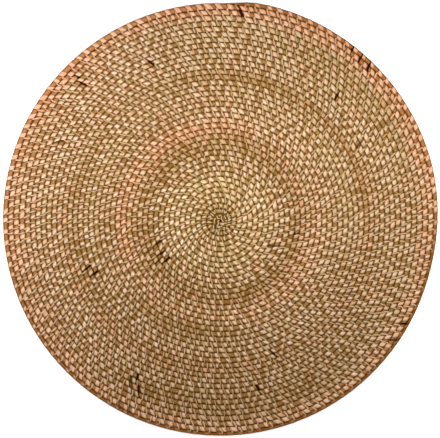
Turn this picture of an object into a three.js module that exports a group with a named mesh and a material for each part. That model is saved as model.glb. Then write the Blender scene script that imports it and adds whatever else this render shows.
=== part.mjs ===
// Round rattan placemat: one long cane rod, wound into a flat spiral and lashed turn to turn.
// Millimetres, +Z up. The mat lies flat on Z = 0 and its box is centred on the Z axis.
// The lashed spiral is one flat solid here: a disc with the coil's stepped outline and a round rim.

import * as THREE from "three";

const { degToRad, euclideanModulo, smoothstep } = THREE.MathUtils;
const TAU = 2 * Math.PI;

// Driving sizes
const RIM_RADIUS = 188.8; // from the spiral's middle to the outside of its last plain turn
const THICKNESS = 6; // rod with the lashing over and under it

// Seen from above the coil grows outward counter-clockwise. Its end overlaps the start of the
// last turn, stands a little further out there, and is shaved to a thin tail right of +Y.
const COIL_END = degToRad(89);
const OVERLAP_ARC = degToRad(109); // how far back from its end the coil stands proud
const OVERLAP_RISE_ARC = degToRad(40);
const OVERLAP_HEIGHT = 3;
const TAIL_ARC = degToRad(9);
const SWELL_LOBES = 2; // slow unevenness of a coil pulled tight by hand
const SWELL_PEAK = degToRad(145);
const SWELL_HEIGHT = 0.35;

// Rim and mesh
const RIM_ROUND = 2.4; // rounding of the rim above and below
const RIM_STEPS = 4;
const OUTLINE_STEPS = 240;

// Radius of the coil's outer side, at an angle about the spiral's middle.
function outlineRadius(angle) {
  const toEnd = euclideanModulo(COIL_END - angle, TAU);
  const risen = 1 - smoothstep(toEnd, OVERLAP_ARC - OVERLAP_RISE_ARC, OVERLAP_ARC);
  const shaved = smoothstep(toEnd, 0, TAIL_ARC);
  const swell = SWELL_HEIGHT * Math.cos(SWELL_LOBES * (angle - SWELL_PEAK));
  return RIM_RADIUS + OVERLAP_HEIGHT * risen * shaved + swell;
}

function matOutline() {
  const points = [];
  for (let i = 0; i < OUTLINE_STEPS; i++) {
    const angle = (i / OUTLINE_STEPS) * TAU;
    const radius = outlineRadius(angle);
    points.push(new THREE.Vector2(radius * Math.cos(angle), radius * Math.sin(angle)));
  }
  const middle = new THREE.Box2().setFromPoints(points).getCenter(new THREE.Vector2());
  return points.map((point) => point.sub(middle));
}

function matGeometry() {
  return new THREE.ExtrudeGeometry(new THREE.Shape(matOutline()), {
    depth: THICKNESS - 2 * RIM_ROUND,
    steps: 1,
    bevelEnabled: true,
    bevelThickness: RIM_ROUND,
    bevelSize: RIM_ROUND,
    bevelOffset: -RIM_ROUND,
    bevelSegments: RIM_STEPS,
  }).translate(0, 0, RIM_ROUND);
}

const cane = new THREE.MeshStandardMaterial({ color: 0xbd9465, roughness: 0.55, metalness: 0 });

const mat = new THREE.Mesh(matGeometry(), cane);
mat.name = "mat";

const placemat = new THREE.Group();
placemat.add(mat);

export default placemat;
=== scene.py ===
"""Round rattan placemat: one long cane rod, wound into a flat spiral and lashed turn to turn.

The rod and every strip of the lashing follow one plan of the coil. Lengths are metres, angles are
radians, and all of it stands in the part's own frame, where the mat lies on Z = 0.
"""

import logging
import math
from dataclasses import dataclass, field
from enum import Enum

import bpy
import numpy as np
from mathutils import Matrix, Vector


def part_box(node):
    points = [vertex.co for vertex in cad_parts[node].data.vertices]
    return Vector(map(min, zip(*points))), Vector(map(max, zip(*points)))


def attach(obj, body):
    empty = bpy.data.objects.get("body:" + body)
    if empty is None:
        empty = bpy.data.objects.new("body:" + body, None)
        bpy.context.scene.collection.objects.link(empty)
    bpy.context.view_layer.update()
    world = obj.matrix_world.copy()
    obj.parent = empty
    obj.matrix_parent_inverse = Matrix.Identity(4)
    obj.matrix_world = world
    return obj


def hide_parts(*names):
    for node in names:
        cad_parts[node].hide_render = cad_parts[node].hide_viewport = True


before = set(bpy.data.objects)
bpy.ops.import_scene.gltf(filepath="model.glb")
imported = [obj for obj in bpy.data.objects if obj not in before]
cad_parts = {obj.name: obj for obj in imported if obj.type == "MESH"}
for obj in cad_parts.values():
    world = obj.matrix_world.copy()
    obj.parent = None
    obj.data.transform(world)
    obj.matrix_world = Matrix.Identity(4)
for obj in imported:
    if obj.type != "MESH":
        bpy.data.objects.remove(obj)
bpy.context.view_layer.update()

LOG = logging.getLogger("placemat")
MM = 0.001
TAU = 2 * math.pi
CAD_NODE = "mat"


def smoothstep(low: float, high: float, value: np.ndarray) -> np.ndarray:
    """Eases from 0 at low to 1 at high.

    Args:
        low: The value where the ramp starts.
        high: The value where it ends.
        value: What to ease.

    Returns:
        The eased share, from 0 to 1.
    """
    share = np.clip((np.asarray(value, float) - low) / (high - low), 0, 1)
    return share * share * (3 - 2 * share)


# ---------------------------------------------------------------- the plan of the coil


@dataclass(frozen=True)
class Sway:
    """A slow waver of the turns, faded in and out over the radius.

    The height and the radii are millimetres, and the peak is degrees.
    """

    lobes: int
    peak: float
    height: float
    fade_in: tuple = (-2, -1)
    fade_out: tuple = (998, 999)

    def at(self, radius: np.ndarray, angle: np.ndarray) -> np.ndarray:
        """How far the waver moves a groove outwards, in metres."""
        seen = radius / MM
        amount = smoothstep(*self.fade_in, seen) * (1 - smoothstep(*self.fade_out, seen))
        return self.height * MM * amount * np.cos(self.lobes * (angle - math.radians(self.peak)))


@dataclass(frozen=True)
class CoilPlan:
    """Where the rod runs. Angles count on from turn to turn, counter-clockwise from +X.

    The sizes that shape the outline are the part's own, so the rod fills the solid.
    """

    thickness: float
    rim_radius: float = 188.8 * MM
    pitch: float = 4.629 * MM
    turns: int = 40
    end_angle: float = math.radians(89)
    overlap_arc: float = math.radians(109)
    overlap_rise_arc: float = math.radians(40)
    overlap_height: float = 3 * MM
    tail_arc: float = math.radians(9)
    swell_lobes: int = 2
    swell_peak: float = math.radians(145)
    swell_height: float = 0.35 * MM
    first_groove: float = 5.67 * MM
    eye_shift: tuple[float, float] = (0.7 * MM, -1.2 * MM)
    sways: tuple[Sway, ...] = (
        Sway(0, 0, -0.4, fade_out=(60, 110)),
        Sway(1, 140, 0.65, fade_in=(55, 105)),
        Sway(2, 138, 0.42, fade_in=(70, 100), fade_out=(130, 160)),
        Sway(1, 105, 0.65, fade_in=(110, 150)),
        Sway(0, 0, -0.4, fade_in=(120, 150), fade_out=(165, 178)),
        Sway(0, 0, 0.4, fade_in=(172, 185)),
    )
    start: float = -0.3 * TAU
    start_arc: float = 4 * TAU
    start_girth: float = 0.78
    last_arc: float = 0.02 * TAU
    outline_steps: int = 240
    steps_per_turn: int = 120

    @property
    def end(self) -> float:
        """Angle at which the rod ends."""
        return self.turns * TAU + self.end_angle

    @property
    def mid_height(self) -> float:
        """Height of the rod's centreline."""
        return self.thickness / 2

    def outline(self, angle: np.ndarray) -> np.ndarray:
        """Radius of the part's outline about its own centre."""
        to_end = np.mod(self.end_angle - angle, TAU)
        risen = 1 - smoothstep(self.overlap_arc - self.overlap_rise_arc, self.overlap_arc, to_end)
        shaved = smoothstep(0, self.tail_arc, to_end)
        swell = self.swell_height * np.cos(self.swell_lobes * (angle - self.swell_peak))
        return self.rim_radius + self.overlap_height * risen * shaved + swell

    def middle(self) -> Vector:
        """Place of the spiral's middle. The part's outline is centred by its box."""
        angle = np.arange(self.outline_steps) / self.outline_steps * TAU
        radius = self.outline(angle)
        across, along = radius * np.cos(angle), radius * np.sin(angle)
        return Vector((
            self.eye_shift[0] - (across.min() + across.max()) / 2,
            self.eye_shift[1] - (along.min() + along.max()) / 2,
            self.mid_height,
        ))

    def rim(self, angle: np.ndarray) -> np.ndarray:
        """Radius of the outline about the spiral's middle."""
        shift = self.eye_shift[0] * np.cos(angle) + self.eye_shift[1] * np.sin(angle)
        return self.outline(angle) - shift

    def outer_side(self, angle: np.ndarray) -> np.ndarray:
        """Radius of the groove outside a turn, or of the outline outside the last one."""
        angle = np.asarray(angle, float)
        plain = self.first_groove + self.pitch * angle / TAU
        swayed = plain + sum(sway.at(plain, angle) for sway in self.sways)
        return np.where(angle > self.end - TAU, self.rim(angle), swayed)

    def centre(self, angle: np.ndarray) -> np.ndarray:
        """Radius of the rod's centreline."""
        return (self.outer_side(angle) + self.outer_side(angle - TAU)) / 2

    def girth(self, angle: np.ndarray) -> np.ndarray:
        """Width of a turn as a share of the pitch. It drops at both of the rod's ends."""
        width = (self.outer_side(angle) - self.outer_side(angle - TAU)) / self.pitch
        begun = smoothstep(self.start, self.start + self.start_arc, angle)
        return width * (self.start_girth + (1 - self.start_girth) * begun)

    def last(self, angle: np.ndarray) -> np.ndarray:
        """How far a place is in the last turn, from 0 before it to 1."""
        return smoothstep(self.end - TAU - self.last_arc, self.end - TAU, angle)

    def reach(self, angle: np.ndarray) -> np.ndarray:
        """Distance to the turn inside this one, as a share of the pitch."""
        return (self.centre(angle) - self.centre(angle - TAU)) / self.pitch

    def steps(self) -> np.ndarray:
        """Angles at which the rod's centreline has a point."""
        count = round((self.end - self.start) / TAU * self.steps_per_turn)
        return np.linspace(self.start, self.end, count + 1)

    def points(self, angle: np.ndarray) -> np.ndarray:
        """Points of the rod's centreline, one row each."""
        middle, radius = self.middle(), self.centre(angle)
        return np.column_stack((
            middle.x + radius * np.cos(angle),
            middle.y + radius * np.sin(angle),
            np.full(len(angle), middle.z),
        ))

    def lengths(self) -> np.ndarray:
        """Length of rod from its start to each of its steps."""
        legs = np.linalg.norm(np.diff(self.points(self.steps()), axis=0), axis=1)
        return np.concatenate(([0.0], np.cumsum(legs)))


@dataclass(frozen=True)
class Patch:
    """A ring of the mat, or an arc of one, whose peel differs from the rest.

    Its radius and spread are millimetres, and its start and stop are degrees.
    """

    radius: float
    spread: float
    start: float = 0
    stop: float = 360
    shade: float = 0
    olive: float = 0
    blush: float = 0
    soft: float = 14

    def weight(self, radius: np.ndarray, angle: np.ndarray) -> np.ndarray:
        """How far each stitch is in the patch.

        Args:
            radius: The stitches' radii, in metres.
            angle: Their angles, in radians.

        Returns:
            Shares from 0 to 1.
        """
        across = np.exp(-(((radius / MM) - self.radius) / self.spread) ** 2)
        if self.stop - self.start >= 360:
            return across
        half = (self.stop - self.start) / 2
        off = np.abs((np.degrees(angle) - self.start - half + 180) % 360 - 180)
        return across * (1 - smoothstep(half - self.soft, half + self.soft, off))


@dataclass(frozen=True)
class Mark:
    """A scorched stitch. The radius is millimetres and the angle is degrees."""

    radius: float
    angle: float
    strength: float


@dataclass(frozen=True)
class StainPlan:
    """How the peel's colour changes over the mat: patches, strips of peel and single stitches.

    Levels and spreads are those of shade, olive, blush and tone.
    """

    patches: tuple[Patch, ...] = (
        Patch(0, 9, olive=0.5),
        Patch(20, 35, shade=-0.09),
        Patch(36, 14, shade=-0.32, olive=0.50),
        Patch(14, 12, shade=-0.15, olive=0.50),
        Patch(43, 9, 140, 235, shade=-0.18),
        Patch(18, 8, 200, 300, shade=-0.12),
        Patch(176, 7, -5, 70, shade=0.14),
        Patch(70, 20, 45, 140, shade=0.16),
        Patch(84, 12, -20, 45, shade=0.08),
        Patch(98, 7, 105, 195, shade=0.13),
        Patch(125, 6, 15, 75, shade=0.13),
        Patch(174, 12, 138, 162, shade=0.18),
        Patch(170, 8, 195, 250, shade=0.12),
        Patch(187, 5, 15, 100, shade=0.15),
        Patch(187, 5, 205, 335, shade=-0.20),
        Patch(30, 15, 50, 130, olive=0.30),
        Patch(28, 12, 235, 305, olive=0.25),
        Patch(68, 10, shade=0.18, olive=0.05),
        Patch(67, 7, 188, 217, shade=0.12),
        Patch(68, 7, 278, 307, shade=0.20, olive=0.30),
        Patch(85, 8, 72, 205, blush=0.22),
        Patch(84, 6, 282, 362, blush=0.20),
        Patch(84, 9, shade=-0.19, blush=0.10),
        Patch(99, 9, 225, 272, shade=0.32, olive=0.35),
        Patch(112, 6, -8, 48, shade=-0.15, olive=0.40),
        Patch(112, 6, 122, 195, shade=-0.18, olive=0.40),
        Patch(127, 4, -5, 232, shade=0.18, olive=0.20),
        Patch(127, 4, 60, 98, shade=0.18, olive=0.20),
        Patch(130, 5, 235, 300, shade=0.15),
        Patch(158, 24, 118, 235, shade=-0.19, blush=0.12),
        Patch(163, 13, 238, 312, shade=0.20),
        Patch(166, 14, 26, 68, shade=0.12, olive=0.30),
        Patch(187, 12, shade=-0.16, blush=0.31),
        Patch(187, 5, 10, 115, blush=0.25),
        Patch(188, 5, 130, 160, blush=0.35),
    )
    marks: tuple[Mark, ...] = (
        Mark(154, 113.5, 1),
        Mark(173.5, 133, 1),
        Mark(173.5, 135.5, 1),
        Mark(149, 47, 1),
        Mark(187, 52, 1),
        Mark(186, 48.5, 1),
        Mark(187, 45.5, 1),
        Mark(59.5, 202, 1),
        Mark(58, 208, 1),
        Mark(57.5, 216, 1),
        Mark(67, 200, 0.8),
        Mark(63, 208.5, 0.9),
        Mark(125.5, 198.5, 1),
        Mark(122, 201, 1),
        Mark(184, 330, 1),
        Mark(181.5, 325, 0.9),
        Mark(156, 242, 1),
        Mark(156.5, 240, 0.9),
        Mark(162, 244, 1),
        Mark(165, 240.5, 0.8),
        Mark(184, 245, 0.8),
        Mark(184.5, 240, 0.8),
        Mark(48, 332.5, 0.9),
        Mark(60.5, 328, 0.8),
        Mark(66, 347, 1),
        Mark(181, 84, 1),
        Mark(156, 154, 0.9),
        Mark(122, 291.5, 1),
        Mark(153, 283, 1),
        Mark(139, 27.5, 0.8),
        Mark(84, 49, 0.8),
    )
    mark_inward: float = 2.8 * MM
    strip_stitches: tuple[int, int] = (24, 62)
    levels: tuple = (0.0, 0.16, 0.04, 0.5)
    spread_by_strip: tuple = (0.03, 0.12, 0.07, 0.06)
    spread_by_stitch: tuple = (0.05, 0.11, 0.09, 0.14)

    def ground(self, angle: np.ndarray, radius: np.ndarray) -> np.ndarray:
        """Sums the patches.

        Args:
            angle: The places' angles, in radians.
            radius: Their radii, in metres.

        Returns:
            One row for each place, with its shade, olive and blush.
        """
        total = np.zeros((len(angle), 3))
        for patch in self.patches:
            weight = patch.weight(radius, angle)
            total += np.outer(weight, (patch.shade, patch.olive, patch.blush))
        return total

    def build(self, angle: np.ndarray, radius: np.ndarray, rng: np.random.Generator) -> dict:
        """Works out the colours of all stitches.

        Args:
            angle: The stitches' angles along the coil.
            radius: Their radii.
            rng: Source of the random shares.

        Returns:
            "stain" with shade, olive and blush, and "skin" with tone, mark and grain seed.
        """
        count = len(angle)
        ends = np.cumsum(rng.integers(*self.strip_stitches, count))
        strip = np.searchsorted(ends, np.arange(count), side="right")
        size = (len(self.levels), count)
        noise = rng.standard_normal(size)[:, strip].T * self.spread_by_strip
        noise += rng.standard_normal(size).T * self.spread_by_stitch
        *stain, tone = (noise + self.levels).T
        shade, olive, blush = np.array(stain) + self.ground(angle, radius).T
        scorch = np.zeros(count)
        seen = (radius - self.mark_inward) / MM
        for mark in self.marks:
            away = np.hypot(
                seen * np.cos(angle) - mark.radius * math.cos(math.radians(mark.angle)),
                seen * np.sin(angle) - mark.radius * math.sin(math.radians(mark.angle)),
            )
            scorch[np.argmin(away)] = mark.strength
        return {
            "stain": np.column_stack((shade, np.clip(olive, 0, 1), np.clip(blush, 0, 1))),
            "skin": np.column_stack((np.clip(tone, 0, 1), scorch, rng.random(count))),
        }


@dataclass(frozen=True)
class LashPlan:
    """Where each stitch of the lashing holds the rod, and how wide and slanted its peel is.

    A stitch ties a turn to the turn inside it, next to that turn's own stitch, so the stitches
    follow each other from turn to turn. An extra one is put in when they have spread too far.
    """

    coil: CoilPlan
    stain: StainPlan
    seed: int = 11
    spacing_at: tuple = (
        tuple(radius * MM for radius in (2, 4, 8, 12, 16, 23, 30, 45, 60, 75, 160, 172, 183)),
        tuple(
            gap * MM for gap in (1.7, 2.1, 3.1, 4.2, 5.2, 6.6, 7.2, 7.6, 7.9, 8.0, 8.0, 8.6, 9.2)
        ),
    )
    spacing: float = 8.0 * MM
    cover_at: tuple = (
        tuple(radius * MM for radius in (6, 11, 25, 45)),
        (0.95, 0.92, 1.08, 1.0),
    )
    stagger: float = 0.51
    extra_at: float = 0.9
    relax_rounds: int = 6
    jitter: float = 0.09
    width_noise: float = 0.15
    slant_noise: float = 0.16
    broad_side: float = math.radians(45)
    broader: float = 0.12
    marked_width: float = 1.0
    noise_range: tuple[float, float] = (0.65, 1.45)
    width_range: tuple[float, float] = (0.3, 1.3)
    lead_in: float = 0.1 * TAU
    end_trim: float = math.radians(0.3)
    relax_share: float = 0.5

    def wanted(self, angle: float) -> float:
        """Spacing that the maker aims for at an angle along the coil."""
        return float(np.interp(self.coil.centre(angle), *self.spacing_at))

    def first_turn(self) -> list[float]:
        """Angles of the first turn's stitches, evenly spaced."""
        angles = [self.coil.start + self.lead_in]
        while angles[-1] < angles[0] + TAU:
            here = angles[-1]
            angles.append(here + self.wanted(here) / float(self.coil.centre(here)))
        return angles[:-1]

    def next_turn(self, inner: np.ndarray, last: float, owed: float) -> tuple[list[float], float]:
        """Follows one turn's stitches with those of the turn outside it.

        Args:
            inner: The inner turn's angles, with the one before them first.
            last: The angle of the stitch that the new ones come after.
            owed: Length of rod that has had too few stitches so far.

        Returns:
            The new turn's angles, and the length still owed.
        """
        angles = [last]
        for before, here in zip(inner[:-1], inner[1:]):
            angle = here + TAU - self.stagger * (here - before)
            spacing = self.wanted(angle)
            gap = (angle - angles[-1]) * float(self.coil.centre(angle))
            owed += gap - spacing
            if owed > self.extra_at * spacing and gap > spacing:
                angles.append((angles[-1] + angle) / 2)
                owed -= spacing
            angles.append(angle)
        angles = np.array(angles)
        for _ in range(self.relax_rounds):
            angles[1:-1] += self.relax_share * ((angles[:-2] + angles[2:]) / 2 - angles[1:-1])
        return list(angles[1:]), owed

    def angles(self) -> np.ndarray:
        """Angles of all stitches along the coil, in order."""
        stitches = self.first_turn()
        done, owed = 0, 0.0
        while stitches[-1] < self.coil.end:
            fresh = np.array(stitches[max(done - 1, 0):])
            done = len(stitches)
            turn, owed = self.next_turn(fresh, stitches[-1], owed)
            stitches += [angle for angle in turn if angle > stitches[-1]]
        stitches = np.array(stitches)
        return stitches[stitches < self.coil.end - self.end_trim]

    def build(self) -> dict[str, np.ndarray]:
        """Works out every stitch.

        Returns:
            One array for each attribute, and the stitches' angles as "turned". "fitting" holds
            each stitch's length along the rod, its width as a share of the full one, and its slant,
            and "rim" is 1 in the last turn.
        """
        angles = self.angles()
        radius = self.coil.centre(angles)
        steps, lengths = self.coil.steps(), self.coil.lengths()
        along = np.interp(angles, steps, lengths)
        gaps = np.diff(along, append=2 * along[-1] - along[-2])
        gaps = (gaps + np.roll(gaps, 1)) / 2
        rng = np.random.default_rng(self.seed)
        count = len(angles)
        cover = np.interp(radius, *self.cover_at)
        noise = np.clip(rng.normal(1, self.width_noise, count), *self.noise_range)
        cover = cover * (1 + self.broader * np.cos(angles - self.broad_side))
        wide = np.clip(gaps / self.spacing * cover, *self.width_range) * noise
        along = along + self.jitter * gaps * rng.standard_normal(count)
        slant = self.slant_noise * rng.standard_normal(count)
        LOG.info("%d stitches, %.2f m of rod, spacing %.2f to %.2f mm", count, lengths[-1],
                 *np.percentile(gaps / MM, (2, 98)))
        stains = self.stain.build(angles, radius, rng)
        wide = np.maximum(wide, self.marked_width * (stains["skin"][:, 1] > 0))
        return {
            "turned": angles,
            "fitting": np.column_stack((along, wide, slant)),
            "rim": self.coil.last(angles),
            **stains,
        }


# ---------------------------------------------------------------- helpers for node trees


class Nodes:
    """Short hand for filling a node tree from left to right."""

    def __init__(self, tree: bpy.types.NodeTree) -> None:
        """Keeps the tree that the nodes go into."""
        self.tree = tree

    def add(self, kind: str, inputs: dict | None = None, **settings: object) -> bpy.types.Node:
        """Adds a node.

        Args:
            kind: The node's type name.
            inputs: Input name or number to a socket to link, or a value to set.
            settings: The node's own settings.

        Returns:
            The new node.
        """
        node = self.tree.nodes.new(kind)
        for name, value in settings.items():
            setattr(node, name, value)
        for name, value in (inputs or {}).items():
            self.feed(node.inputs[name], value)
        return node

    def feed(self, target: bpy.types.NodeSocket, value: object) -> None:
        """Links a socket to an input, or sets the input's value."""
        if isinstance(value, bpy.types.NodeSocket):
            self.tree.links.new(value, target)
        else:
            target.default_value = value


class GeometryTree(Nodes):
    """A geometry node tree with named inputs, and one geometry out."""

    def __init__(self, name: str, inputs: dict[str, str]) -> None:
        """Makes the tree.

        Args:
            name: The tree's name.
            inputs: Each input's name to its socket type.
        """
        super().__init__(bpy.data.node_groups.new(name, "GeometryNodeTree"))
        face = self.tree.interface
        face.new_socket("Geometry", in_out="INPUT", socket_type="NodeSocketGeometry")
        for label, kind in inputs.items():
            face.new_socket(label, in_out="INPUT", socket_type=kind)
        face.new_socket("Geometry", in_out="OUTPUT", socket_type="NodeSocketGeometry")
        self.given = self.tree.nodes.new("NodeGroupInput").outputs

    def attribute(self, name: str, kind: str = "FLOAT") -> bpy.types.NodeSocket:
        """Reads a named attribute of the geometry."""
        node = self.add("GeometryNodeInputNamedAttribute", {"Name": name}, data_type=kind)
        return node.outputs["Attribute"]

    def math(self, operation: str, *values: object) -> bpy.types.NodeSocket:
        """One math operation on its inputs, in order."""
        node = self.add("ShaderNodeMath", dict(enumerate(values)), operation=operation)
        return node.outputs[0]

    def vector(self, operation: str, *values: object) -> bpy.types.NodeSocket:
        """One vector operation on its first inputs, in order."""
        node = self.add("ShaderNodeVectorMath", dict(enumerate(values)), operation=operation)
        return node.outputs[0]

    def scaled(self, vector: bpy.types.NodeSocket, scale: object) -> bpy.types.NodeSocket:
        """A vector times a number."""
        node = self.add("ShaderNodeVectorMath", {0: vector, "Scale": scale}, operation="SCALE")
        return node.outputs[0]

    def end(self, geometry: bpy.types.NodeSocket, material: object) -> None:
        """Closes the tree: real meshes, shaded smooth, with their material."""
        real = self.add("GeometryNodeRealizeInstances", {0: geometry}).outputs[0]
        smooth = self.add("GeometryNodeSetShadeSmooth", {0: real}).outputs[0]
        dressed = self.add("GeometryNodeSetMaterial", {0: smooth, "Material": material})
        self.add("NodeGroupOutput", {0: dressed.outputs[0]})


def mesh_from(obj: bpy.types.Object, tree: bpy.types.NodeTree, inputs: dict[str, object]) -> None:
    """Runs a geometry tree on an object and keeps the result as its plain mesh.

    Args:
        obj: The object that holds what the tree starts from.
        tree: The geometry node tree.
        inputs: Input name to value.
    """
    modifier = obj.modifiers.new(tree.name, "NODES")
    modifier.node_group = tree
    for item in tree.interface.items_tree:
        if item.in_out == "INPUT" and item.name in inputs:
            modifier[item.identifier] = inputs[item.name]
    obj.update_tag()
    graph = bpy.context.evaluated_depsgraph_get()
    made = bpy.data.meshes.new_from_object(obj.evaluated_get(graph), depsgraph=graph)
    obj.modifiers.remove(modifier)
    seed, obj.data = obj.data, made
    made.name = obj.name
    bpy.data.meshes.remove(seed)


def mesh_object(name: str, points: np.ndarray, edges: list, faces: list) -> bpy.types.Object:
    """Makes a linked object from plain mesh data.

    Args:
        name: Name of the object and its mesh.
        points: One row for each vertex.
        edges: Pairs of vertex numbers.
        faces: Lists of vertex numbers.

    Returns:
        The object, at the origin.
    """
    mesh = bpy.data.meshes.new(name)
    mesh.from_pydata([tuple(point) for point in points], edges, faces)
    obj = bpy.data.objects.new(name, mesh)
    bpy.context.scene.collection.objects.link(obj)
    return obj


def report(obj: bpy.types.Object) -> None:
    """Logs the size of a finished piece."""
    obj.data.calc_loop_triangles()
    LOG.info("%s: %d faces, %d triangles", obj.name, len(obj.data.polygons),
             len(obj.data.loop_triangles))


def tube_faces(rings: int, size: int) -> list[list[int]]:
    """Lists the faces of a closed tube.

    Args:
        rings: How many cross-sections it has, one after another.
        size: How many points each of them has.

    Returns:
        The faces along it, then both of its caps.
    """
    faces = []
    for low in range(0, (rings - 1) * size, size):
        for i in range(size):
            after = (i + 1) % size
            faces.append([low + i, low + after, low + size + after, low + size + i])
    faces.append(list(range(size))[::-1])
    faces.append([(rings - 1) * size + i for i in range(size)])
    return faces


def set_attribute(obj: bpy.types.Object, name: str, values: np.ndarray) -> None:
    """Stores a number, or a row of three, for each vertex of an object's mesh."""
    kind, key = ("FLOAT_VECTOR", "vector") if np.ndim(values) == 2 else ("FLOAT", "value")
    attribute = obj.data.attributes.new(name, kind, "POINT")
    attribute.data.foreach_set(key, np.asarray(values, np.float32).ravel())


# ---------------------------------------------------------------- finishes


class ShaderTree(Nodes):
    """A material's node tree, or a shader node group's."""

    def math(self, operation: str, *values: object) -> bpy.types.NodeSocket:
        """One math operation on its inputs, in order, kept from 0 to 1."""
        node = self.add(
            "ShaderNodeMath", dict(enumerate(values)), operation=operation, use_clamp=True
        )
        return node.outputs[0]

    def ramp(
        self, value: object, low: float, high: float, start: float = 0, stop: float = 1
    ) -> bpy.types.NodeSocket:
        """Eases a value from one range to another.

        Args:
            value: What to ease.
            low: The value that gives start.
            high: The value that gives stop.
            start: Result at low and beyond.
            stop: Result at high and beyond.

        Returns:
            The eased result.
        """
        node = self.add(
            "ShaderNodeMapRange", {0: value, 1: low, 2: high, 3: start, 4: stop},
            interpolation_type="SMOOTHSTEP",
        )
        return node.outputs[0]

    def blend(
        self, share: object, first: object, second: object, mode: str = "MIX"
    ) -> bpy.types.NodeSocket:
        """Mixes two colours by a share from 0 to 1, on the node's two colour inputs."""
        node = self.add(
            "ShaderNodeMix", {"Factor": share, 6: first, 7: second},
            data_type="RGBA", blend_type=mode,
        )
        return node.outputs[2]

    def plain(self, operation: str, *values: object) -> bpy.types.NodeSocket:
        """One math operation on its inputs, in order, with any result."""
        return self.add("ShaderNodeMath", dict(enumerate(values)), operation=operation).outputs[0]

    def blend_value(self, share: object, first: object, second: object) -> bpy.types.NodeSocket:
        """Mixes two numbers by a share from 0 to 1."""
        return self.add("ShaderNodeMix", {"Factor": share, 2: first, 3: second}).outputs[0]

    def attribute(self, name: str) -> bpy.types.NodeSocket:
        """Reads the number that the mesh stores under a name."""
        return self.add("ShaderNodeAttribute", attribute_name=name).outputs["Fac"]

    def attribute_parts(self, name: str) -> list[bpy.types.NodeSocket]:
        """Reads the three numbers that the mesh stores under a name."""
        stored = self.add("ShaderNodeAttribute", attribute_name=name).outputs["Vector"]
        return list(self.add("ShaderNodeSeparateXYZ", {0: stored}).outputs)

    def group(self, tree: bpy.types.NodeTree, inputs: dict) -> bpy.types.bpy_prop_collection:
        """Uses a shader group and returns its outputs."""
        node = self.tree.nodes.new("ShaderNodeGroup")
        node.node_tree = tree
        for name, value in inputs.items():
            self.feed(node.inputs[name], value)
        return node.outputs


def colour(red: int, green: int, blue: int) -> tuple[float, float, float, float]:
    """Turns a screen colour from 0 to 255 into the linear colour that a socket takes."""
    linear = [
        share / 12.92 if share <= 0.04045 else ((share + 0.055) / 1.055) ** 2.4
        for share in (red / 255, green / 255, blue / 255)
    ]
    return (*linear, 1.0)


class ShaderGroup(ShaderTree):
    """A node group that materials share. It puts out values only."""

    def __init__(self, name: str, inputs: tuple[str, ...], outputs: tuple[str, ...]) -> None:
        """Makes the group.

        Args:
            name: The group's name.
            inputs: Names of its number inputs.
            outputs: Names of its number outputs.
        """
        super().__init__(bpy.data.node_groups.new(name, "ShaderNodeTree"))
        for label in inputs:
            self.tree.interface.new_socket(label, in_out="INPUT", socket_type="NodeSocketFloat")
        for label in outputs:
            self.tree.interface.new_socket(label, in_out="OUTPUT", socket_type="NodeSocketFloat")
        self.given = self.tree.nodes.new("NodeGroupInput").outputs

    def end(self, **values: bpy.types.NodeSocket) -> bpy.types.NodeTree:
        """Links the outputs and returns the finished group."""
        self.add("NodeGroupOutput", values)
        return self.tree


@dataclass
class SharedEffects:
    """The shader groups that the cane's materials share."""

    mid_height: float
    streaks: float = 3.2
    run_scale: float = 1.1
    mottle_scale: float = 1400.0
    seed_step: float = 53.0
    fibre_scale: float = 4.0
    streak_edges: tuple[float, float] = (0.38, 0.62)
    mottle_edges: tuple[float, float] = (0.32, 0.68)

    def grain(self) -> bpy.types.NodeTree:
        """Fine fibres along a strip, from where a point lies across and along it."""
        group = ShaderGroup(
            "Cane Grain", ("Across", "Along", "Seed"), ("Streak", "Fibre", "Mottle")
        )
        across, along, seed = (group.given[i] for i in range(3))
        apart = group.plain("MULTIPLY", seed, self.seed_step)
        place = group.add("ShaderNodeCombineXYZ", {
            0: group.plain("ADD", group.plain("MULTIPLY", across, self.streaks), apart),
            1: group.plain("MULTIPLY", along, self.run_scale),
            2: apart,
        }).outputs[0]
        coarse = group.add("ShaderNodeTexNoise", {"Vector": place, "Scale": 1.0, "Detail": 1.0})
        fine = group.add("ShaderNodeTexNoise", {
            "Vector": place, "Scale": self.fibre_scale, "Detail": 2.0
        })
        spots = group.add("ShaderNodeTexNoise", {
            "Vector": group.add("ShaderNodeTexCoord").outputs["Object"],
            "Scale": self.mottle_scale, "Detail": 1.0,
        })
        return group.end(
            Streak=group.ramp(coarse.outputs[0], *self.streak_edges), Fibre=fine.outputs[0],
            Mottle=group.ramp(spots.outputs[0], *self.mottle_edges),
        )

    def groove_shade(self) -> bpy.types.NodeTree:
        """Painted shade in the grooves, as a dark brown by height: 1 at the mat's middle height, 0
        on both faces.
        """
        group = ShaderGroup("Groove Grime", ("Low", "High"), ("Grime",))
        place = group.add("ShaderNodeTexCoord").outputs["Object"]
        height = group.add("ShaderNodeSeparateXYZ", {0: place}).outputs["Z"]
        off = group.plain("ABSOLUTE", group.plain("SUBTRACT", height, self.mid_height))
        share = group.plain("DIVIDE", off, self.mid_height)
        mask = group.add("ShaderNodeMapRange", {
            0: share, 1: group.given["Low"], 2: group.given["High"], 3: 1.0, 4: 0.0
        }, interpolation_type="SMOOTHSTEP")
        return group.end(Grime=mask.outputs[0])

    def build(self) -> dict[str, bpy.types.NodeTree]:
        """Builds both groups, by name."""
        return {"grain": self.grain(), "groove_shade": self.groove_shade()}


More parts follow.
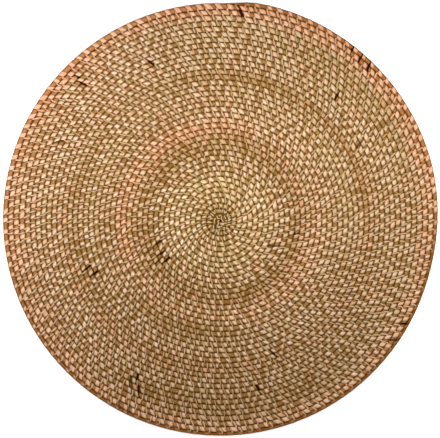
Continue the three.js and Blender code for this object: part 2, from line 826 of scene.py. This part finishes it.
@dataclass(frozen=True)
class CaneFinish:
    """What all of the cane shares: how its stains colour and darken it."""

    name: str = "cane"
    roughness: float = 0.5
    olive: tuple = colour(122, 106, 67)
    blush: tuple = colour(166, 108, 84)
    shading: tuple = (0.82, 1.0, 1.33)
    mottling: float = 0.40

    def surface(
        self, tree: ShaderTree, effects: dict[str, bpy.types.NodeTree]
    ) -> dict[str, bpy.types.NodeSocket]:
        """Works out what goes into the shader, by the name of its input."""
        raise NotImplementedError

    def build(self, effects: dict[str, bpy.types.NodeTree]) -> bpy.types.Material:
        """Builds the material, which has no mirror shine.

        Args:
            effects: The shared shader groups.

        Returns:
            The material.
        """
        material = bpy.data.materials.new(self.name)
        material.use_nodes = True
        material.node_tree.nodes.clear()
        tree = ShaderTree(material.node_tree)
        shader = tree.add("ShaderNodeBsdfPrincipled", {
            "Roughness": self.roughness, "Specular IOR Level": 0.0, **self.surface(tree, effects)
        })
        tree.add("ShaderNodeOutputMaterial", {"Surface": shader.outputs[0]})
        return material

    def stained(
        self, tree: ShaderTree, base: bpy.types.NodeSocket, mottle: object, more: object = 0.0,
        olive_share: object = 1.0,
    ) -> bpy.types.NodeSocket:
        """Puts the stains that the mesh stores over a colour.

        Args:
            tree: The material's tree.
            base: The clean colour.
            mottle: Fine light and dark spots, from 0 to 1.
            more: Extra darkness.
            olive_share: How much of the stored olive is taken.

        Returns:
            The stained colour.
        """
        shade, olive, blush = tree.attribute_parts("stain")
        base = tree.blend(tree.math("MULTIPLY", olive, olive_share), base, self.olive)
        base = tree.blend(blush, base, self.blush)
        dark = tree.plain("SUBTRACT", tree.plain("ADD", more, shade), self.mottling / 2)
        dark = tree.plain("MULTIPLY_ADD", mottle, self.mottling, dark)
        left = tree.add("ShaderNodeCombineXYZ", {
            i: tree.plain("MULTIPLY_ADD", dark, -taken, 1.0)
            for i, taken in enumerate(self.shading)
        }).outputs[0]
        return tree.blend(1.0, base, left, "MULTIPLY")


@dataclass(frozen=True)
class PeelFinish(CaneFinish):
    """Cane peel of the lashing: a smooth skin with fine fibre, stained strip by strip.

    The tuples called bands are ramps: where they start and stop, and the shares there. Pairs named
    on_pad_and_tie hold a share for the wide pads and one for the narrow ties.
    """

    name: str = "cane peel"
    roughness: float = 0.40
    cream: tuple = colour(156, 136, 116)
    tan: tuple = colour(146, 121, 84)
    vein: tuple = colour(118, 84, 42)
    dull: tuple = colour(118, 92, 52)
    # edge: dark brown of the painted shadow along the strips' sides and the mat's outer rim
    edge: tuple = colour(66, 35, 0)
    scorch: tuple = colour(30, 9, 0)
    # groove: dark brown of the painted shade in the grooves
    groove: tuple = colour(89, 49, 0)
    # painted light and shade across each strip: a lighter crown and darker sides
    crown_shading_band: tuple = (0.1, 0.9, 0.5, -0.3)
    tie_lightness: tuple = (0.45, 0.95)
    tie_olive: float = 0.25
    tie_shade: float = 0.05
    tie_end_band: tuple = (0.7, 0.95, 0, 0.5)
    olive_on_pad_and_tie: tuple = (0.7, 1.3)
    vein_share: float = 0.35
    # painted shadow along both sides of pads and ties, wider and darker on the left
    right_edge_band: tuple = (0.8, 0.95, 0, 0.85)
    left_edge_band: tuple = (-0.65, -0.9, 0, 0.95)
    # painted shadow on the mat's outer side: the outer end of the last turn's strips
    rim_band: tuple = (0.1, 0.24, 0.85, 0)
    # heights, and pad and tie shares, of the painted shade in the grooves
    groove_shade_heights: tuple = (0.54, 0.92)
    groove_shade_on_pad_and_tie: tuple = (0.9, 0.3)
    scorched_tie_band: tuple = (0.2, 0.3)
    scorched_pad_band: tuple = (-0.45, -0.62)
    scorched_pad_from: tuple = (0.75, 0.85)
    fibre_strength: float = 0.25
    fibre_height: float = 0.1 * MM

    def surface(
        self, tree: ShaderTree, effects: dict[str, bpy.types.NodeTree]
    ) -> dict[str, bpy.types.NodeSocket]:
        """Works out the peel's colour and its fibre bump.

        Args:
            tree: The material's tree.
            effects: The shared shader groups.

        Returns:
            Input name of the shader to socket.
        """
        side, run, tie = tree.attribute_parts("peel")
        tone, mark, seed = tree.attribute_parts("skin")
        low, high = self.groove_shade_heights
        grain = tree.group(effects["grain"], {"Across": side, "Along": run, "Seed": seed})
        groove_shade = tree.group(effects["groove_shade"], {"Low": low, "High": high})
        # painted highlight along the strip's crown, painted shade towards its sides
        crown_shading = tree.ramp(tree.math("ABSOLUTE", side), *self.crown_shading_band)
        mixed = tree.blend_value(
            tie, tree.plain("ADD", crown_shading, tone), tree.blend_value(seed, *self.tie_lightness)
        )
        base = tree.blend(mixed, self.tan, self.cream)
        base = tree.blend(tree.math("MULTIPLY", tie, self.tie_olive), base, self.olive)
        # darker, duller colour towards the tie's inner end
        toward_tie_end = tree.math("MULTIPLY", tree.ramp(run, *self.tie_end_band), tie)
        base = tree.blend(toward_tie_end, base, self.dull)
        base = self.stained(
            tree, base, grain["Mottle"], tree.plain("MULTIPLY", tie, self.tie_shade),
            tree.blend_value(tie, *self.olive_on_pad_and_tie),
        )
        # painted shadow at the outer end of each strip in the last turn, where the rim falls away
        outer_end = tree.ramp(run, *self.rim_band)
        groove_shade_share = tree.blend_value(tie, *self.groove_shade_on_pad_and_tie)
        layers = (
            (tree.math("MULTIPLY", grain["Streak"], self.vein_share), self.vein),
            # painted shadow along the sides of each strip
            (tree.ramp(side, *self.right_edge_band), self.edge),
            (tree.ramp(side, *self.left_edge_band), self.edge),
            (tree.math("MULTIPLY", tree.attribute("rim"), outer_end), self.edge),
            # painted shade in the grooves, stronger on pads than on ties
            (tree.math("MULTIPLY", groove_shade["Grime"], groove_shade_share), self.groove),
            (self.burnt(tree, side, run, tie, mark), self.scorch),
        )
        for share, over in layers:
            base = tree.blend(share, base, over)
        bump = tree.add("ShaderNodeBump", {
            "Strength": self.fibre_strength, "Distance": self.fibre_height,
            "Height": grain["Fibre"],
        })
        return {"Base Color": base, "Normal": bump.outputs[0]}

    def burnt(
        self, tree: ShaderTree, side: object, run: object, tie: object, mark: object
    ) -> bpy.types.NodeSocket:
        """Where a scorched stitch is dark: its tie, and one edge of the pad if it is strong.

        Args:
            tree: The material's tree.
            side: Where a point lies across the strip, from -1 to 1.
            run: Where it lies along the strip, from 0 to 1.
            tie: 1 on a tie and 0 on a pad.
            mark: How scorched the stitch is.

        Returns:
            The share of the scorched colour.
        """
        on_tie = tree.math("MULTIPLY", tie, tree.ramp(run, *self.scorched_tie_band))
        on_pad = tree.math(
            "MULTIPLY", tree.math("SUBTRACT", 1.0, tie), tree.ramp(side, *self.scorched_pad_band)
        )
        on_pad = tree.math("MULTIPLY", on_pad, tree.ramp(mark, *self.scorched_pad_from))
        return tree.math("MULTIPLY", mark, tree.plain("ADD", on_tie, on_pad))


@dataclass(frozen=True)
class RodFinish(CaneFinish):
    """Scraped cane of the rod, seen only in the gaps of the lashing."""

    name: str = "cane rod"
    roughness: float = 0.7
    blush: tuple = colour(136, 80, 52)
    wood: tuple = colour(132, 108, 73)
    vein: tuple = colour(62, 39, 0)
    # groove: dark brown of the painted shade where the rod lies low between the turns
    groove: tuple = colour(86, 47, 0)
    vein_share: float = 0.8
    groove_shade_heights: tuple = (0.2, 0.85)

    def surface(
        self, tree: ShaderTree, effects: dict[str, bpy.types.NodeTree]
    ) -> dict[str, bpy.types.NodeSocket]:
        """Works out the rod's colour.

        Args:
            tree: The material's tree.
            effects: The shared shader groups.

        Returns:
            Input name of the shader to socket.
        """
        low, high = self.groove_shade_heights
        groove_shade = tree.group(effects["groove_shade"], {"Low": low, "High": high})
        grain = tree.group(effects["grain"], {})
        veined = tree.math("MULTIPLY", grain["Mottle"], self.vein_share)
        base = self.stained(tree, tree.blend(veined, self.wood, self.vein), 0.5)
        # painted shade in the grooves over the rod's colour
        return {"Base Color": tree.blend(groove_shade["Grime"], base, self.groove)}


# ---------------------------------------------------------------- the rod


@dataclass
class Coil:
    """The spiral rod: one closed round tube along the plan."""

    plan: CoilPlan
    stain: StainPlan
    effects: dict[str, bpy.types.NodeTree]
    finish: RodFinish = field(default_factory=RodFinish)
    name: str = "coil_rod"
    rod_radius: float = 1.95 * MM
    squash: float = 1.26
    last_slimmer: float = 0.08
    eye_shade: float = 0.64
    eye_reach: float = 48 * MM
    sides: int = 8

    def guide(self) -> bpy.types.Object:
        """Makes the line that the rod and the strips follow.

        Returns:
            The line. Its "fit" holds the girth, the reach and the rod's own scale.
        """
        steps = self.plan.steps()
        edges = [(i, i + 1) for i in range(len(steps) - 1)]
        guide = mesh_object("coil_guide", self.plan.points(steps), edges, [])
        girth, radius = self.plan.girth(steps), self.plan.centre(steps)
        slim = girth * (1 - self.last_slimmer * self.plan.last(steps))
        set_attribute(guide, "fit", np.column_stack((girth, self.plan.reach(steps), slim)))
        stain = self.stain.ground(steps, radius)
        # painted shade: the rod darkens towards the eye, where the gaps between the strips lie in
        # shadow
        stain[:, 0] += self.eye_shade * np.exp(-(radius / self.eye_reach) ** 2)
        set_attribute(guide, "stain", stain)
        return guide

    def tree(self) -> bpy.types.NodeTree:
        """Builds the tree that turns the guide into the rod."""
        tree = GeometryTree("rod_along_guide", {
            "Rod Radius": "NodeSocketFloat",
            "Squash": "NodeSocketFloat",
            "Sides": "NodeSocketInt",
            "Material": "NodeSocketMaterial",
        })
        line = tree.add("GeometryNodeMeshToCurve", {0: tree.given["Geometry"]}).outputs[0]
        fit = tree.add("ShaderNodeSeparateXYZ", {0: tree.attribute("fit", "FLOAT_VECTOR")})
        ring = tree.add("GeometryNodeCurvePrimitiveCircle", {
            "Resolution": tree.given["Sides"], "Radius": tree.given["Rod Radius"]
        })
        wider = tree.add("ShaderNodeCombineXYZ", {0: tree.given["Squash"], 1: 1.0, 2: 1.0})
        oval = tree.add("GeometryNodeTransform", {0: ring.outputs[0], "Scale": wider.outputs[0]})
        rod = tree.add("GeometryNodeCurveToMesh", {
            "Curve": line, "Profile Curve": oval.outputs[0], "Fill Caps": True,
            "Scale": fit.outputs[2],
        })
        tree.end(rod.outputs[0], tree.given["Material"])
        return tree.tree

    def build(self) -> bpy.types.Object:
        """Builds the rod as a plain mesh."""
        rod = self.guide()
        rod.name = self.name
        mesh_from(rod, self.tree(), {
            "Rod Radius": self.rod_radius, "Squash": self.squash, "Sides": self.sides,
            "Material": self.finish.build(self.effects),
        })
        report(rod)
        return rod


# ---------------------------------------------------------------- the lashing


class Strip(Enum):
    """The four runs of one stitch's peel."""

    PAD = "pad"
    TIE = "tie"
    PAD_UNDER = "pad_under"
    TIE_UNDER = "tie_under"


@dataclass(frozen=True)
class Station:
    """One cross-section of a strip: where it lies across the rod, and how wide and thick it is."""

    out: float
    up: float
    back: float
    half_width: float
    thick: float


@dataclass
class StripShape:
    """The form of a strip on a straight rod. Its out, up and back stand for Y, Z and X.

    out is away from the mat's middle, up is above the rod's centreline, and back is against the
    way in which the coil grows.
    """

    pitch: float
    rod_radius: float
    section: tuple = ((-1, 0.0), (-0.9, 0.8), (0, 1.0), (0.9, 0.8), (1, 0.0))
    tie_section: tuple = ((-1, 0.0), (-0.5, 0.9), (0.5, 0.9), (1, 0.0))
    under_section: tuple = ((-1, 0.0), (0, 1.0), (1, 0.0))
    half_width: float = 2.05 * MM
    end_width: float = 0.92
    lean: float = 1.25 * MM
    end_thick: float = 0.3 * MM
    crown: float = 0.65 * MM
    pad_steps: int = 7
    flat_out: float = 0.8
    flat_up: float = 0.6
    tie_half_width: float = 1.0 * MM
    tie_waist: float = 0.7
    tie_thick: float = 0.6 * MM
    tie_dip: float = math.radians(125)
    tie_low: float = 1.75 * MM
    tie_steps: int = 4
    tie_back: tuple = (-0.4 * MM, -1.5 * MM, 0.1 * MM)
    under_half_width: float = 1.2 * MM
    under_flat: float = 0.45
    under_steps: int = 5
    under_back: tuple = (0.75 * MM, -3.0 * MM)
    under_tie_flat: float = 0.65
    under_tie_low: float = 1.4 * MM
    under_tie_steps: int = 3
    under_tie_back: tuple = (-8.7 * MM, -4.4 * MM, -0.1 * MM)

    def pad(self, steps: int) -> list[Station]:
        """The wide wrap over its own rod, from the outer side to the inner."""
        stations = []
        for turned in np.linspace(0, math.pi, steps):
            out, up = self.on_rod(turned)
            crowned = math.sin(turned)
            stations.append(Station(
                out=out, up=up, back=-self.lean * math.cos(turned),
                half_width=self.half_width * (self.end_width + (1 - self.end_width) * crowned),
                thick=self.end_thick + self.crown * crowned,
            ))
        return stations

    def on_rod(self, turned: float) -> tuple[float, float]:
        """A point of the flattened rod, at an angle from its outer side over its top."""
        across = abs(math.cos(turned)) ** self.flat_out
        high = abs(math.sin(turned)) ** self.flat_up
        return math.copysign(self.rod_radius * across, math.cos(turned)), self.rod_radius * high

    def over_two(self, back: tuple, low: float, steps: int) -> list[Station]:
        """A strip over its own rod and the rod inside it, dipping into the groove between.

        Args:
            back: How far back the strip lies at its start, in the groove and at its end.
            low: Height in the groove.
            steps: Steps over each rod.

        Returns:
            The stations, from the outer side of the own rod to the inner side of the next.
        """
        first = [self.on_rod(turned) for turned in np.linspace(0, self.tie_dip, steps)]
        second = [(-self.pitch - out, up) for out, up in reversed(first)]
        line = first + [(-self.pitch / 2, low)] + second
        inward = (-line[0][0], self.pitch / 2, -line[-1][0])
        stations = []
        for out, up in line:
            from_groove = min(abs(out + self.pitch / 2) / (self.pitch / 2), 1.0)
            narrow = self.tie_waist + (1 - self.tie_waist) * math.sqrt(from_groove)
            stations.append(Station(
                out=out, up=up, back=float(np.interp(-out, inward, back)),
                half_width=self.tie_half_width * narrow, thick=self.tie_thick,
            ))
        return stations

    def stations(self, strip: Strip) -> list[Station]:
        """The cross-sections of one run, those of the underside turned over."""
        if strip is Strip.PAD:
            return self.pad(self.pad_steps)
        if strip is Strip.TIE:
            return self.over_two(self.tie_back, self.tie_low, self.tie_steps)
        if strip is Strip.PAD_UNDER:
            backs = np.linspace(*self.under_back, self.under_steps)
            return [
                Station(-s.out, -s.up, back, self.under_half_width, self.under_flat * s.thick)
                for s, back in zip(self.pad(self.under_steps), backs)
            ]
        turned = self.over_two(self.under_tie_back, self.under_tie_low, self.under_tie_steps)
        return [
            Station(s.out, -s.up, s.back, s.half_width, self.under_tie_flat * s.thick)
            for s in turned
        ]

    def build(self, strip: Strip) -> bpy.types.Object:
        """Makes one strip as a closed mesh, with run, side and tie stored on it."""
        stations = self.stations(strip)
        sections = {Strip.PAD: self.section, Strip.TIE: self.tie_section}
        section = sections.get(strip, self.under_section)
        tie = 1.0 if strip in (Strip.TIE, Strip.TIE_UNDER) else 0.0
        last = len(stations) - 1
        points, peel = [], []
        for i, station in enumerate(stations):
            before, after = stations[max(i - 1, 0)], stations[min(i + 1, last)]
            way = Vector((0, after.out - before.out, after.up - before.up)).normalized()
            away = Vector((0, way.z, -way.y))
            if (away.z < 0) == (station.up >= 0):
                away = -away
            foot = Vector((0, station.out, station.up))
            for across, height in section:
                point = foot + away * height * station.thick
                point.x = station.back + across * station.half_width
                points.append(point)
                peel.append((across, i / last, tie))
        faces = tube_faces(len(stations), len(section))
        obj = mesh_object("strip_" + strip.value, np.array(points), [], faces)
        set_attribute(obj, "peel", np.array(peel))
        return obj


@dataclass
class Lashing:
    """All stitches: each strip is set on the coil at its stitch and bent to follow it."""

    coil: Coil
    plan: LashPlan
    finish: PeelFinish = field(default_factory=PeelFinish)
    zones: tuple = ("inner", "middle", "outer")
    first_pad: float = 0.75 * TAU
    first_tie: float = TAU
    handed_over: tuple[float, float] = (-0.3, -0.8)

    def tree(self) -> bpy.types.NodeTree:
        """Builds the tree that sets a strip at each stitch and bends it onto the guide."""
        tree = GeometryTree("strips_on_guide", {
            "Strip": "NodeSocketObject",
            "Guide": "NodeSocketObject",
            "Pitch": "NodeSocketFloat",
            "Material": "NodeSocketMaterial",
        })
        strip = tree.add("GeometryNodeObjectInfo", {"Object": tree.given["Strip"]})
        guide = tree.add("GeometryNodeObjectInfo", {"Object": tree.given["Guide"]})
        line = tree.add("GeometryNodeMeshToCurve", {0: guide.outputs["Geometry"]}).outputs[0]
        copies = tree.add("GeometryNodeInstanceOnPoints", {
            "Points": tree.given["Geometry"], "Instance": strip.outputs["Geometry"]
        }).outputs[0]
        real = tree.add("GeometryNodeRealizeInstances", {0: copies}).outputs[0]
        position = tree.add("GeometryNodeInputPosition").outputs[0]
        local = tree.add("ShaderNodeSeparateXYZ", {0: position})
        stitch = tree.add("ShaderNodeSeparateXYZ", {0: tree.attribute("fitting", "FLOAT_VECTOR")})
        back = tree.math("MULTIPLY", local.outputs["X"], stitch.outputs[1])
        back = tree.math("MULTIPLY_ADD", local.outputs["Y"], stitch.outputs[2], back)
        length = tree.math("SUBTRACT", stitch.outputs[0], back)
        sample = tree.add("GeometryNodeSampleCurve", {
            "Curves": line, "Value": tree.attribute("fit", "FLOAT_VECTOR"), "Length": length
        }, data_type="FLOAT_VECTOR", mode="LENGTH", use_all_curves=True)
        fit = tree.add("ShaderNodeSeparateXYZ", {0: sample.outputs["Value"]})
        inward = tree.math("DIVIDE", local.outputs["Y"], tree.given["Pitch"])
        own, next_in = self.handed_over
        passed = tree.add("ShaderNodeMapRange", {0: inward, 1: own, 2: next_in, 3: 0.0, 4: 1.0})
        girth = tree.add("ShaderNodeMix", {
            "Factor": passed.outputs[0], 2: fit.outputs[0], 3: fit.outputs[1]
        }).outputs[0]
        out = tree.math("MULTIPLY", local.outputs["Y"], girth)
        height = tree.add("ShaderNodeMix", {"Factor": passed.outputs[0], 2: fit.outputs[0], 3: 1.0})
        up = tree.math("MULTIPLY", local.outputs["Z"], height.outputs[0])
        aside = tree.vector("CROSS_PRODUCT", sample.outputs["Tangent"], (0, 0, 1))
        aside = tree.vector("NORMALIZE", aside)
        place = tree.vector("ADD", sample.outputs["Position"], tree.scaled(aside, out))
        rise = tree.add("ShaderNodeCombineXYZ", {"Z": up}).outputs[0]
        place = tree.vector("ADD", place, rise)
        bent = tree.add("GeometryNodeSetPosition", {"Geometry": real, "Position": place})
        tree.end(bent.outputs[0], tree.given["Material"])
        return tree.tree

    def build(self, guide: bpy.types.Object) -> list[bpy.types.Object]:
        """Builds the lashing as plain meshes, one for each zone and side.

        Args:
            guide: The line along the rod.

        Returns:
            The pieces.
        """
        tree, material = self.tree(), self.finish.build(self.coil.effects)
        shape = StripShape(self.coil.plan.pitch, self.coil.rod_radius)
        stitches = self.plan.build()
        turned = stitches.pop("turned")
        count, zones = len(turned), len(self.zones)
        pieces = []
        for strip in Strip:
            template = shape.build(strip)
            first = self.first_tie if strip in (Strip.TIE, Strip.TIE_UNDER) else self.first_pad
            for zone, name in enumerate(self.zones):
                chosen = np.arange(count * zone // zones, count * (zone + 1) // zones)
                chosen = chosen[turned[chosen] > first]
                points = np.zeros((len(chosen), 3))
                piece = mesh_object(f"lash_{strip.value}_{name}", points, [], [])
                for key, values in stitches.items():
                    set_attribute(piece, key, values[chosen])
                mesh_from(piece, tree, {
                    "Strip": template, "Guide": guide, "Pitch": self.coil.plan.pitch,
                    "Material": material,
                })
                report(piece)
                pieces.append(piece)
            bpy.data.objects.remove(template)
        return pieces


@dataclass(frozen=True)
class StrandRing:
    """A ring of short peel ends around the spiral's middle, in millimetres and degrees."""

    radius: float
    count: int
    length: float
    width: float
    height: float
    lean: float
    scatter: float


@dataclass
class Eye:
    """The spiral's middle: a dark knob with peel ends crossed over it."""

    plan: CoilPlan
    effects: dict[str, bpy.types.NodeTree]
    # the knob's own dark colour, made darker still as painted shade for the ring of holes between
    # the peel ends
    finish: RodFinish = RodFinish(
        name="cane eye", wood=colour(70, 46, 10), groove=colour(42, 24, 0)
    )
    peel: PeelFinish = PeelFinish(name="cane peel ends")
    profile: tuple = (
        (20, 1.2), (20, 2.6), (7.6, 2.8), (7.6, 4.4), (7.0, 5.2), (4.5, 5.3), (1.3, 5.3),
        (0.6, 3.8),
    )
    sides: int = 20
    seed: int = 4
    rings: tuple[StrandRing, ...] = (
        StrandRing(2.4, 8, 2.2, 1.1, 5.6, 60, 35),
        StrandRing(4.8, 14, 2.0, 1.3, 5.5, 45, 40),
        StrandRing(8.4, 15, 2.6, 1.4, 5.4, 15, 20),
    )
    strand_section: tuple = ((1, -0.3), (0.6, 0.5), (-0.6, 0.5), (-1, -0.3))
    strand_stations: tuple = (-0.5, -0.25, 0.25, 0.5)
    droop: float = 2.0
    step_scatter: float = 0.25
    radius_scatter: float = 0.35
    size_range: tuple[float, float] = (0.8, 1.2)
    tone_range: tuple[float, float] = (0.1, 0.9)
    olive_range: tuple[float, float] = (0.2, 0.9)

    def knob(self) -> bpy.types.Object:
        """Builds the knob."""
        middle = self.plan.middle()
        points = []
        for radius, height in self.profile:
            for i in range(self.sides):
                angle = i / self.sides * TAU
                points.append((
                    middle.x + radius * MM * math.cos(angle),
                    middle.y + radius * MM * math.sin(angle),
                    height * MM,
                ))
        faces = tube_faces(len(self.profile), self.sides)
        knob = mesh_object("eye_knob", np.array(points), [], faces)
        knob.data.materials.append(self.finish.build(self.effects))
        report(knob)
        return knob

    def strand(self) -> bpy.types.Object:
        """Makes one peel end, one millimetre wide and long, drooping at both ends."""
        points, peel = [], []
        for along in self.strand_stations:
            for across, up in self.strand_section:
                points.append((along, across / 2, up - self.droop * along * along))
                peel.append((across, along + 0.5, 0.0))
        faces = tube_faces(len(self.strand_stations), len(self.strand_section))
        strand = mesh_object("strand", np.array(points) * MM, [], faces)
        set_attribute(strand, "peel", np.array(peel))
        return strand

    def tree(self) -> bpy.types.NodeTree:
        """Builds the tree that sets a turned and stretched strand at each point."""
        tree = GeometryTree("strands_on_points", {
            "Strand": "NodeSocketObject",
            "Material": "NodeSocketMaterial",
        })
        strand = tree.add("GeometryNodeObjectInfo", {"Object": tree.given["Strand"]})
        copies = tree.add("GeometryNodeInstanceOnPoints", {
            "Points": tree.given["Geometry"], "Instance": strand.outputs["Geometry"],
            "Rotation": tree.attribute("turn", "FLOAT_VECTOR"),
            "Scale": tree.attribute("size", "FLOAT_VECTOR"),
        })
        tree.end(copies.outputs[0], tree.given["Material"])
        return tree.tree

    def strands(self) -> bpy.types.Object:
        """Builds the rings of peel ends."""
        rng, middle = np.random.default_rng(self.seed), self.plan.middle()
        places, turns, sizes, skins = [], [], [], []
        for ring in self.rings:
            step = TAU / ring.count
            for i in range(ring.count):
                angle = step * (i + self.step_scatter * rng.standard_normal())
                radius = (ring.radius + self.radius_scatter * rng.standard_normal()) * MM
                lean = math.radians(ring.lean + ring.scatter * rng.standard_normal())
                length = ring.length * rng.uniform(*self.size_range)
                width = ring.width * rng.uniform(*self.size_range)
                across, along = radius * math.cos(angle), radius * math.sin(angle)
                places.append((middle.x + across, middle.y + along, ring.height * MM))
                turns.append((0, 0, angle + lean))
                sizes.append((length, width, 1))
                skins.append((rng.uniform(*self.tone_range), 0, rng.random()))
        piece = mesh_object("eye_strands", np.array(places), [], [])
        olive = rng.uniform(*self.olive_range, len(places))
        stored = {"turn": turns, "size": sizes, "skin": skins, "stain": np.outer(olive, (0, 1, 0))}
        for key, values in stored.items():
            set_attribute(piece, key, values)
        strand = self.strand()
        mesh_from(piece, self.tree(), {"Strand": strand, "Material": self.peel.build(self.effects)})
        bpy.data.objects.remove(strand)
        report(piece)
        return piece

    def build(self) -> list[bpy.types.Object]:
        """Builds the knob and its strands."""
        return [self.knob(), self.strands()]


# ---------------------------------------------------------------- studio


@dataclass
class Studio:
    """Pale floor, even white light with a soft key, and a camera looking straight down."""

    width_seen: float = 383.3 * MM
    lens: float = 200.0
    sensor: float = 36.0
    aside: float = -0.3 * MM
    top: float = 6 * MM
    floor_size: float = 4.0
    floor_colour: tuple = (0.93, 0.93, 0.93, 1)
    floor_roughness: float = 0.9
    surround: float = 1.5
    key_size: tuple[float, float] = (0.9, 0.12)
    key_power: float = 2.5
    key_place: tuple[float, float, float] = (-0.075, 0.072, 0.22)

    def floor(self) -> None:
        """Makes the floor under the mat."""
        half = self.floor_size / 2
        corners = [(-half, -half, 0), (half, -half, 0), (half, half, 0), (-half, half, 0)]
        floor = mesh_object("floor", np.array(corners), [], [[0, 1, 2, 3]])
        material = bpy.data.materials.new("pale floor")
        material.use_nodes = True
        shader = material.node_tree.nodes["Principled BSDF"]
        shader.inputs["Base Color"].default_value = self.floor_colour
        shader.inputs["Roughness"].default_value = self.floor_roughness
        floor.data.materials.append(material)

    def lights(self) -> None:
        """Makes an even white surround and one long soft light over the mat's upper half."""
        world = bpy.data.worlds.new("studio")
        world.use_nodes = True
        background = world.node_tree.nodes["Background"]
        background.inputs["Color"].default_value = (1, 1, 1, 1)
        background.inputs["Strength"].default_value = self.surround
        bpy.context.scene.world = world
        light = bpy.data.lights.new("key", "AREA")
        light.shape, light.energy = "RECTANGLE", self.key_power
        light.size, light.size_y = self.key_size
        key = bpy.data.objects.new("key", light)
        key.location = self.key_place
        bpy.context.scene.collection.objects.link(key)

    def camera(self) -> None:
        """Makes the camera, straight above the mat."""
        data = bpy.data.cameras.new("camera")
        data.lens, data.sensor_width = self.lens, self.sensor
        camera = bpy.data.objects.new("camera", data)
        camera.location = (self.aside, 0, self.top + self.width_seen * self.lens / self.sensor)
        bpy.context.scene.collection.objects.link(camera)
        bpy.context.scene.camera = camera

    def build(self) -> None:
        """Sets the stage."""
        self.floor()
        self.lights()
        self.camera()
        bpy.context.scene.view_settings.view_transform = "Standard"


def main() -> None:
    logging.basicConfig(level=logging.INFO, format="%(message)s")
    low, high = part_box(CAD_NODE)
    plan = CoilPlan(thickness=high.z - low.z)
    effects = SharedEffects(plan.mid_height).build()
    stain = StainPlan()
    coil = Coil(plan, stain, effects)
    guide = coil.guide()
    rod = coil.build()
    lashing = Lashing(coil, LashPlan(plan, stain)).build(guide)
    lashing += Eye(plan, effects).build()
    bpy.data.objects.remove(guide)
    for piece in (rod, *lashing):
        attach(piece, "root")
        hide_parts(CAD_NODE)
    Studio(top=high.z).build()


if __name__ == "__main__":
    main()
